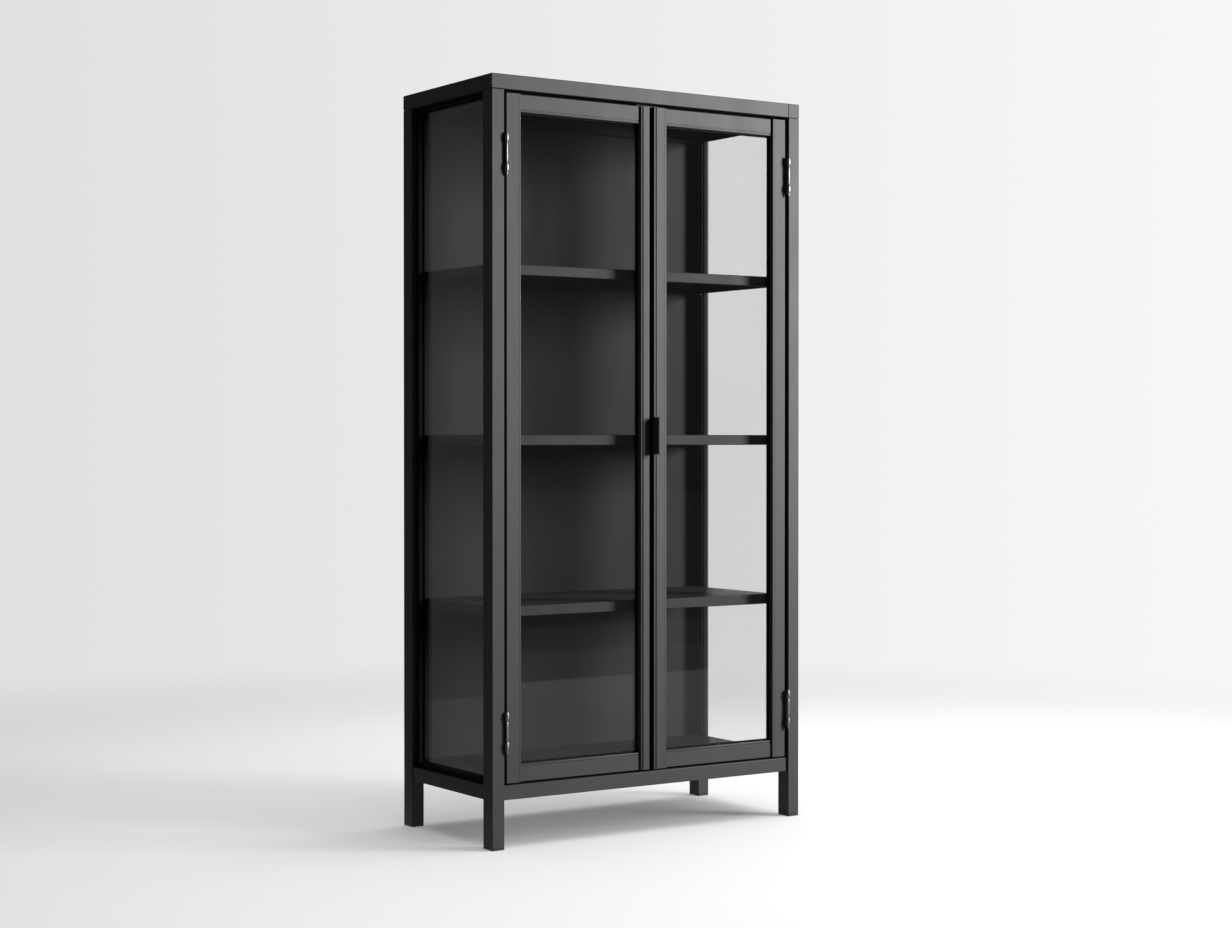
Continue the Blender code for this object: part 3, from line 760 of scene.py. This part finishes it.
class CABINET_OT_doors(bpy.types.Operator):
    """Stiles and rails of the two doors, with a moulded bead round the glass"""

    bl_idname = "cabinet.doors"
    bl_label = "Doors"

    ROUNDEST_BEAD, BEAD_SHARE, END_EASE = 0.0022, 0.42, 0.0004

    def execute(self, context):
        sizes = context.scene.cabinet_sizes
        for side in SIDES:
            if side == "left":
                hinge_bead, meeting_bead = 1, 0
                meeting_width, meeting_groove = sizes.bead, sizes.bead_groove_depth
            else:
                hinge_bead, meeting_bead = 0, 1
                meeting_width, meeting_groove = sizes.wide_bead, sizes.shallow_groove
            for member in (
                    ("hinge_stile", "outer_stile", Z, hinge_bead, sizes.bead, sizes.shallow_groove),
                    ("meeting_stile", "inner_stile", Z, meeting_bead, meeting_width, meeting_groove),
                    ("bottom_rail", "lower_rail", X, 1, sizes.bead, sizes.rail_groove),
                    ("top_rail", "upper_rail", X, 0, sizes.bead, sizes.rail_groove)):
                self.member(sizes, f"{side}_door", *member)
        return {"FINISHED"}

    def member(self, sizes, door, node, name, along, bead_end, bead, groove_depth):
        """One stile or rail: its section drawn out along it."""
        low, high = corners(f"{door}_{node}")
        width_axis = X if along == Z else Z
        edge, plain = ((low, high), (high, low))[bead_end]
        edge, plain = edge[width_axis], plain[width_axis]
        way = 1.0 if plain > edge else -1.0
        front, back = low.y, high.y
        deep = front + groove_depth
        corner = sizes.tube_corner
        round_bead = min(bead * self.BEAD_SHARE, self.ROUNDEST_BEAD)
        inner_round = min(round_bead, groove_depth * 0.8)
        section = [
            (edge, back, corner * 0.6), (edge, front, round_bead),
            (edge + way * bead, front, inner_round), (edge + way * bead, deep, 0.0),
            (edge + way * (bead + sizes.bead_groove), deep, 0.0),
            (edge + way * (bead + sizes.bead_groove), front, inner_round * 0.4),
            (plain, front, corner), (plain, back, corner)]
        if along == X:
            section = [(y, width, rounding) for width, y, rounding in section]
        shape = prism(section, along, low[along], high[along], 4, self.END_EASE)
        make_piece(f"{door}_{name}", [shape], door, "frame_paint", [f"{door}_{node}"])


class CABINET_OT_meeting_edge(bpy.types.Operator):
    """Ridged cover strip and rubber lip where the doors meet"""

    bl_idname = "cabinet.meeting_edge"
    bl_label = "Meeting edge"

    HALF_VALLEY, VALLEY_DEPTH, RIDGE, END_EASE = 0.0005, 0.0020, 0.0018, 0.0003
    LIP_ROOT, LIP_NECK, LIP_STEP, LIP_NOSE = 0.002, 0.0028, 0.001, 0.0024

    def execute(self, context):
        low, high = corners("right_door_meeting_strip")
        valley = (low.x + high.x) / 2
        half, deep = self.HALF_VALLEY, low.y + self.VALLEY_DEPTH
        outline = [(low.x, high.y, 0.0), (low.x, low.y, self.RIDGE), (valley - half, low.y, self.RIDGE),
                   (valley - half, deep, 0.0), (valley + half, deep, 0.0),
                   (valley + half, low.y, self.RIDGE), (high.x, low.y, self.RIDGE),
                   (high.x, high.y, 0.0)]
        strip = prism(outline, Z, low.z, high.z, 5, self.END_EASE)
        make_piece("right_door_cover_strip", [strip], "right_door", "frame_paint",
                   ["right_door_meeting_strip"])
        low, high = corners("left_door_gap_seal")
        root, neck = low.x + self.LIP_ROOT, low.x + self.LIP_NECK
        front, back = low.y + self.LIP_STEP, high.y - self.LIP_STEP
        outline = [(low.x, front, 0.0), (root, front, 0.0), (neck, low.y, self.LIP_STEP),
                   (high.x, low.y, self.LIP_NOSE), (high.x, high.y, self.LIP_NOSE),
                   (neck, high.y, self.LIP_STEP), (root, back, 0.0), (low.x, back, 0.0)]
        lip = prism(outline, Z, low.z, high.z, 4)
        make_piece("left_door_edge_seal", [lip], "left_door", "seal_rubber", ["left_door_gap_seal"])
        return {"FINISHED"}


class CABINET_OT_pull(bpy.types.Operator):
    """Angle pull on its back plate"""

    bl_idname = "cabinet.pull"
    bl_label = "Pull"

    PLATE, PLATE_CORNER, PLATE_EDGE = 0.002, 0.0015, 0.0006
    WEB, WELD = (0.0002, 0.0027), 0.0005
    LIP_WIDTH, LIP, LIP_ROUNDS = 0.0094, 0.0032, (0.0013, 0.0012, 0.0010)
    ANGLE_INSET, ANGLE_EASE = 0.0015, 0.0009
    SCREW_SIDE, SCREW_END, SCREW_RADIUS, SCREW_HEIGHT = 0.0045, 0.010, 0.0026, 0.0011

    def execute(self, context):
        sizes = context.scene.cabinet_sizes
        low, high = corners("right_door_handle")
        plate_front = high.y - self.PLATE
        plate = cuboid((low.x, plate_front, low.z), (high.x, high.y, high.z))
        round_along(plate, Y, self.PLATE_CORNER, 4)
        round_rim(plate, Y, plate_front, self.PLATE_EDGE, 3)
        web_left, web_right = (low.x + side for side in self.WEB)
        lip_end, lip_back = low.x + self.LIP_WIDTH, low.y + self.LIP
        weld = plate_front + self.WELD
        front_round, back_round, inner_round = self.LIP_ROUNDS
        outline = [(web_left, weld, 0.0), (web_left, low.y, sizes.pull_bend),
                   (lip_end, low.y, front_round), (lip_end, lip_back, back_round),
                   (web_right, lip_back, inner_round), (web_right, weld, 0.0)]
        angle = prism(outline, Z, low.z + self.ANGLE_INSET, high.z - self.ANGLE_INSET, 5,
                      self.ANGLE_EASE)
        screws = [screw_head((high.x - self.SCREW_SIDE, plate_front, height), (0.0, -1.0, 0.0),
                             self.SCREW_RADIUS, self.SCREW_HEIGHT)
                  for height in (low.z + self.SCREW_END, high.z - self.SCREW_END)]
        make_piece("right_door_pull", [plate, angle, *screws], "right_door", "handle_paint",
                   ["right_door_handle"])
        return {"FINISHED"}


class CABINET_OT_catch(bpy.types.Operator):
    """Double magnetic catch and the plates it holds"""

    bl_idname = "cabinet.catch"
    bl_label = "Catch"

    SHELL_CORNER, SHELL_EDGE = 0.0025, 0.0008
    POLE_MARGIN, POLE_PROUD, POLE_DEPTH, POLE_HEIGHT, POLE_EDGE = 0.002, 0.0009, 0.002, 0.0025, 0.0003
    POLE_LOW, POLE_HIGH = 0.003, 0.0055
    SCREW_SIDE, SCREW_RADIUS, SCREW_HEIGHT = 0.005, 0.0026, 0.001
    STRIKE_CORNER, STRIKE_EDGE, RIVET_RADIUS, RIVET_HEIGHT = 0.0020, 0.0003, 0.0018, 0.0005

    def execute(self, context):
        low, high = corners("magnetic_catch")
        shell = cuboid(low, high)
        round_along(shell, Z, self.SHELL_CORNER, 4)
        round_rim(shell, Z, low.z, self.SHELL_EDGE, 2)
        shapes = [shell]
        for side in SIDES:
            plate_low, plate_high = corners(f"{side}_door_strike")
            for height in (plate_low.z + self.POLE_LOW, plate_high.z - self.POLE_HIGH):
                shapes.append(second_finish(eased_block(
                    (plate_low.x + self.POLE_MARGIN, low.y - self.POLE_PROUD, height),
                    (plate_high.x - self.POLE_MARGIN, low.y + self.POLE_DEPTH,
                     height + self.POLE_HEIGHT), self.POLE_EDGE)))
        for place in (low.x + self.SCREW_SIDE, high.x - self.SCREW_SIDE):
            shapes.append(second_finish(screw_head(
                (place, (low.y + high.y) / 2, low.z), (0.0, 0.0, -1.0),
                self.SCREW_RADIUS, self.SCREW_HEIGHT)))
        make_piece("magnet_catch", shapes, "carcass", "catch_plastic", ["magnetic_catch"],
                   ("catch_plastic", "catch_steel"))
        for side in SIDES:
            node = f"{side}_door_strike"
            low, high = corners(node)
            plate = cuboid(low, high)
            round_along(plate, Y, self.STRIKE_CORNER, 4)
            round_rim(plate, Y, high.y, self.STRIKE_EDGE, 2)
            rivet = screw_head(((low.x + high.x) / 2, high.y, (low.z + high.z) / 2),
                               (0.0, 1.0, 0.0), self.RIVET_RADIUS, self.RIVET_HEIGHT)
            make_piece(f"{side}_door_strike_plate", [plate, rivet], f"{side}_door", "catch_steel",
                       [node])
        return {"FINISHED"}


class CABINET_OT_hinges(bpy.types.Operator):
    """Butt hinges: two leaves, three knuckles and a pin each"""

    bl_idname = "cabinet.hinges"
    bl_label = "Hinges"

    BORE, PIN, END_KNUCKLE = 0.0023, 0.0020, 0.021
    END_SLACK, MIDDLE_SLACK, KNUCKLE_GAP = 0.0006, 0.0014, 0.0004
    TAB_BACK, LEAF_BACK, LEAF_CORNER, LEAF_EASE = 0.0020, 0.0007, 0.003, 0.0002
    LEAF = (0.0008, 0.0025)
    SCREWS = ((0.14, 0.00675), (0.38, 0.012), (0.62, 0.012), (0.86, 0.00675))
    SCREW_START, SCREW_RADIUS, SCREW_HEIGHT = 0.019, 0.0026, 0.0006

    def execute(self, context):
        bulge = context.scene.cabinet_sizes.knuckle_bulge
        for level in LEVELS:
            for side in SIDES:
                self.hinge(level, side, bulge)
        return {"FINISHED"}

    def knuckle(self, axis, low, high, radius, bulge):
        """A hollow barrel with rolled ends."""
        roll = (radius - self.BORE) * 0.6
        tall = high - low
        outline = [(self.BORE, low), (radius - roll, low), (radius - roll * 0.35, low + roll * 0.35),
                   (radius, low + roll)]
        for step in (0.25, 0.5, 0.75):
            outline.append((radius + bulge * sin(pi * step), low + tall * step))
        outline += [(radius, high - roll), (radius - roll * 0.35, high - roll * 0.35),
                    (radius - roll, high), (self.BORE, high)]
        return turned(outline, (axis.x, axis.y, 0.0), closed=True)

    def leaf(self, span, tab_y, main_y, back_y, low, high, middle, tabs):
        """A leaf's plate, notched round the other leaf's knuckles."""
        if tabs == "ends":
            end_y, notch_y = tab_y, main_y
        else:
            end_y, notch_y = main_y, tab_y
        outline = [(end_y, low, 0.0), (back_y, low, self.LEAF_CORNER), (back_y, high, self.LEAF_CORNER),
                   (end_y, high, 0.0), (end_y, middle[1], 0.0), (notch_y, middle[1], 0.0),
                   (notch_y, middle[0], 0.0), (end_y, middle[0], 0.0)]
        return prism(outline, X, span[0], span[1], 4, self.LEAF_EASE)

    def hinge(self, level, side, bulge):
        frame_node, door_node = f"hinge_frame_leaf_{level}_{side}", f"hinge_door_leaf_{level}_{side}"
        pin_node = f"hinge_pin_{level}_{side}"
        pin_low, pin_high = corners(pin_node)
        axis = (pin_low + pin_high) / 2
        low, high = corners(frame_node)
        radius = (high.x - low.x) / 2
        middle = (low.z + self.END_KNUCKLE, high.z - self.END_KNUCKLE)
        way = 1.0 if side == "left" else -1.0
        frame_wall, door_wall = ((low.x, high.x), (high.x, low.x))[side == "right"]
        tab_y, main_y = axis.y + self.TAB_BACK, axis.y + radius + self.LEAF_BACK

        frame_span = sorted(frame_wall + way * far for far in self.LEAF)
        shapes = [self.leaf(frame_span, tab_y, main_y, high.y, low.z, high.z, middle, "ends")]
        for barrel_low, barrel_high in ((low.z, middle[0]), (middle[1], high.z)):
            shapes.append(self.knuckle(axis, barrel_low, barrel_high, radius - self.END_SLACK, bulge))
        shapes += self.leaf_screws(frame_span[way > 0], way, low, high)
        make_piece(f"{level}_{side}_frame_leaf", shapes, "carcass", "hinge_steel", [frame_node])

        door_span = sorted(door_wall - way * far for far in self.LEAF)
        door_middle = (middle[0] + self.KNUCKLE_GAP, middle[1] - self.KNUCKLE_GAP)
        shapes = [self.leaf(door_span, tab_y, main_y, high.y, low.z, high.z, door_middle, "middle")]
        shapes.append(self.knuckle(axis, *door_middle, radius - self.MIDDLE_SLACK, 0.0))
        shapes += self.leaf_screws(door_span[way < 0], -way, low, high)
        make_piece(f"{level}_{side}_door_leaf", shapes, f"{side}_door", "hinge_steel", [door_node])

        top, tip = pin_high.z, pin_low.z
        head, seat = (pin_high.x - pin_low.x) / 2, high.z + 0.0003
        brim = seat + 0.0006
        outline = [(0.0, top)]
        outline += [(head * sin(radians(turn)), brim + (top - brim) * cos(radians(turn)))
                    for turn in (20, 40, 60, 78, 90)]
        outline += [(head, seat + 0.0001), (head - 0.0002, seat), (self.PIN, seat),
                    (self.PIN, low.z - 0.0002), (self.PIN * 1.35, low.z - 0.0006),
                    (self.PIN * 1.45, low.z - 0.0030), (self.PIN * 1.15, tip + 0.0016),
                    (self.PIN * 0.7, tip + 0.0004), (0.0, tip)]
        pin = turned(outline, (axis.x, axis.y, 0.0))
        make_piece(f"{level}_{side}_hinge_pin", [pin], "carcass", "hinge_steel", [pin_node])

    def leaf_screws(self, face_x, way, low, high):
        """Countersunk heads on the side of a leaf that faces the gap."""
        return [screw_head((face_x, high.y - self.SCREW_START + back, low.z + up * (high.z - low.z)),
                           (way, 0.0, 0.0), self.SCREW_RADIUS, self.SCREW_HEIGHT)
                for up, back in self.SCREWS]


class CABINET_OT_stage(bpy.types.Operator):
    """Camera, lamps, pale floor and backdrop"""

    bl_idname = "cabinet.stage"
    bl_label = "Stage"

    # where it stands, what it is aimed at, and its width and height
    LAMPS = {
        "key_softbox": ((4.45, -3.90, 2.35), (0.0, -0.15, 0.90), (1.6, 2.4)),
        "floor_softbox": ((0.95, -0.4, 3.4), (0.65, -0.2, 0.0), (4.6, 4.6)),
        "rear_softbox": ((2.4, 4.2, 2.2), (0.0, 0.2, 0.9), (2.0, 2.0)),
    }
    # lowest x and y, highest x and y, and brightness of each glowing card: a painted reflection of the
    # floor, seen only in the glass and paint
    PAINTED_FLOOR_REFLECTION = {
        "left": ((-6.0, -3.2), (-0.6, 2.5), 0.19), "middle": ((-0.6, -3.2), (1.3, 2.5), 0.42),
        "right": ((1.3, -3.2), (6.0, 2.5), 0.46), "far": ((-0.6, -4.2), (12.0, -3.2), 0.20),
        "farther": ((-0.6, -5.4), (12.0, -4.2), 0.15), "farthest": ((-0.6, -30.0), (20.0, -5.4), 0.10),
    }
    PAINTED_REFLECTION_HEIGHT = 0.0004
    FLOOR_REACH, FLOOR_FADE = 14.0, (1.6, 4.2)
    SLOPE_REACH = 0.5
    RIGHT_FRONT_GLOW, LEFT_REAR_GLOW = 0.03, 0.08

    def execute(self, context):
        studio = context.scene.cabinet_studio
        context.scene.view_settings.view_transform = "Standard"
        self.camera(context, studio)
        self.backdrop(context, studio)
        self.floor(context, studio)
        self.softbox(context, "key_softbox", studio.key_power)
        self.softbox(context, "floor_softbox", studio.floor_power, [bpy.data.objects["studio_floor"]])
        self.softbox(context, "rear_softbox", studio.rear_power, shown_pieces())
        return {"FINISHED"}

    def camera(self, context, studio):
        view = bpy.data.cameras.new("camera")
        view.lens = studio.lens
        view.sensor_width = 36.0
        view.clip_end = 60.0
        camera = bpy.data.objects.new("camera", view)
        post, _ = corners("post_front_left")
        camera.location = Vector((post.x, post.y, 0.0)) + Vector(studio.camera_place)
        camera.rotation_euler = (pi / 2 - studio.camera_tilt, 0.0, -studio.camera_turn)
        context.scene.collection.objects.link(camera)
        context.scene.camera = camera

    def softbox(self, context, name, watts, lit=()):
        """A soft lamp, which lights everything or only the objects named for it."""
        place, target, size = self.LAMPS[name]
        lamp = bpy.data.lights.new(name, "AREA")
        lamp.shape = "RECTANGLE"
        lamp.size, lamp.size_y = size
        lamp.energy = watts
        thing = bpy.data.objects.new(name, lamp)
        thing.location = place
        aim = Vector(target) - Vector(place)
        thing.rotation_euler = aim.to_track_quat("-Z", "Y").to_euler()
        context.scene.collection.objects.link(thing)
        if lit:
            receivers = bpy.data.collections.new("lit_by_" + name)
            for receiver in lit:
                receivers.objects.link(receiver)
            thing.light_linking.receiver_collection = receivers

    def backdrop(self, context, studio):
        """A pale backdrop for the camera, and a dim room with two brighter sides for the object."""
        world = bpy.data.worlds.new("studio")
        context.scene.world = world
        finish = Finish(world)
        heading = finish.wire(finish.node("ShaderNodeTexCoord"), "Generated")
        parts = finish.node("ShaderNodeSeparateXYZ", {0: heading})
        x, y, z = (finish.wire(parts, axis) for axis in (X, Y, Z))
        aside = x * cos(studio.camera_turn) + y * -sin(studio.camera_turn)
        pale = finish.ramp(aside, -self.SLOPE_REACH, self.SLOPE_REACH,
                           studio.backdrop - studio.backdrop_slope,
                           studio.backdrop + studio.backdrop_slope)
        right_front = finish.maths("MAXIMUM", x * 0.75 + y * -0.45 + z * 0.45, 0.0)
        left_rear = finish.maths("MAXIMUM", x * -0.55 + y * 0.83, 0.0)
        dim = studio.ambience + right_front * self.RIGHT_FRONT_GLOW + left_rear * self.LEFT_REAR_GLOW
        seen = finish.wire(finish.node("ShaderNodeLightPath"), "Is Camera Ray")
        shown = finish.node("ShaderNodeBackground", {"Color": WHITE, "Strength": pale})
        felt = finish.node("ShaderNodeBackground", {"Color": WHITE, "Strength": dim})
        mixed = finish.node("ShaderNodeMixShader", {
            0: seen, 1: finish.wire(felt), 2: finish.wire(shown)})
        finish.output(finish.wire(mixed), "ShaderNodeOutputWorld")

    def floor(self, context, studio):
        """A pale floor that melts into the backdrop, and glowing cards that only reflections see: a
        painted reflection of the floor.
        """
        reach = self.FLOOR_REACH
        floor = self.sheet(context, "studio_floor", (-reach, -reach), (reach, reach), 0.0)
        finish = new_finish("floor_finish")
        place = finish.place()
        away = finish.wire(finish.node("ShaderNodeVectorMath", {0: place}, operation="LENGTH"), "Value")
        fade = finish.ramp(away, *self.FLOOR_FADE)
        soft = finish.noise(place, 1.4, 2.0)
        base = finish.blend(soft, shade(studio.floor_colour, 0.995), shade(studio.floor_colour, 1.0))
        matt = finish.principled({
            "Base Color": base, "Roughness": 0.9, "Specular IOR Level": 0.0,
            "Emission Color": WHITE, "Emission Strength": studio.floor_glow})
        clear = finish.wire(finish.node("ShaderNodeBsdfTransparent"))
        mixed = finish.node("ShaderNodeMixShader", {0: fade, 1: matt, 2: clear})
        floor.data.materials.append(finish.output(finish.wire(mixed)))
        floor.visible_diffuse = False
        floor.visible_glossy = False

        # Painted reflection: glowing cards, seen only by glossy rays, stand in for the floor in the
        # glass and paint.
        for part, (low, high, strength) in self.PAINTED_FLOOR_REFLECTION.items():
            name = f"mirrored_floor_{part}"
            reflection_card = self.sheet(context, name, low, high, self.PAINTED_REFLECTION_HEIGHT)
            finish = new_finish(name + "_finish")
            glow = finish.node("ShaderNodeEmission", {"Color": WHITE,
                                                      "Strength": strength})
            reflection_card.data.materials.append(finish.output(finish.wire(glow)))
            for rays in ("camera", "diffuse", "shadow", "transmission"):
                setattr(reflection_card, "visible_" + rays, False)

    def sheet(self, context, name, low, high, height):
        shape = bmesh.new()
        bmesh.ops.create_grid(shape, x_segments=1, y_segments=1, size=0.5)
        bmesh.ops.scale(shape, vec=(high[0] - low[0], high[1] - low[1], 1.0), verts=shape.verts)
        bmesh.ops.translate(shape, vec=((low[0] + high[0]) / 2, (low[1] + high[1]) / 2, height),
                            verts=shape.verts)
        mesh = bpy.data.meshes.new(name)
        shape.to_mesh(mesh)
        shape.free()
        thing = bpy.data.objects.new(name, mesh)
        context.scene.collection.objects.link(thing)
        thing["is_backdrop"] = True
        return thing


class CABINET_PT_sidebar(bpy.types.Panel):
    """Lists what builds the cabinet"""

    bl_idname = "CABINET_PT_sidebar"
    bl_label = "Display Cabinet"
    bl_space_type = "VIEW_3D"
    bl_region_type = "UI"
    bl_category = "Cabinet"

    def draw(self, context):
        for group in ("cabinet_sizes", "cabinet_finishes", "cabinet_studio"):
            settings = getattr(context.scene, group)
            column = self.layout.column(align=True)
            for name in settings.bl_rna.properties.keys():
                if name not in {"rna_type", "name"}:
                    column.prop(settings, name)
        for operator in OPERATORS:
            self.layout.operator(operator.bl_idname)


# ---------------------------------------------------------------- registration

GROUPS = {"cabinet_sizes": CabinetSizes, "cabinet_finishes": CabinetFinishes,
          "cabinet_studio": CabinetStudio}
OPERATORS = (CABINET_OT_frame, CABINET_OT_feet, CABINET_OT_sheets, CABINET_OT_shelves,
             CABINET_OT_glazing, CABINET_OT_doors, CABINET_OT_meeting_edge, CABINET_OT_pull,
             CABINET_OT_catch, CABINET_OT_hinges, CABINET_OT_stage)


def register():
    for name, group in GROUPS.items():
        bpy.utils.register_class(group)
        setattr(bpy.types.Scene, name, PointerProperty(type=group))
    for operator in OPERATORS:
        bpy.utils.register_class(operator)
    bpy.utils.register_class(CABINET_PT_sidebar)


def unregister():
    bpy.utils.unregister_class(CABINET_PT_sidebar)
    for operator in reversed(OPERATORS):
        bpy.utils.unregister_class(operator)
    for name, group in GROUPS.items():
        delattr(bpy.types.Scene, name)
        bpy.utils.unregister_class(group)


def main():
    """Build everything in order."""
    register()
    bpy.ops.cabinet.frame()
    bpy.ops.cabinet.feet()
    bpy.ops.cabinet.sheets()
    bpy.ops.cabinet.shelves()
    bpy.ops.cabinet.glazing()
    bpy.ops.cabinet.doors()
    bpy.ops.cabinet.meeting_edge()
    bpy.ops.cabinet.pull()
    bpy.ops.cabinet.catch()
    bpy.ops.cabinet.hinges()
    bpy.ops.cabinet.stage()


if __name__ == "__main__":
    main()
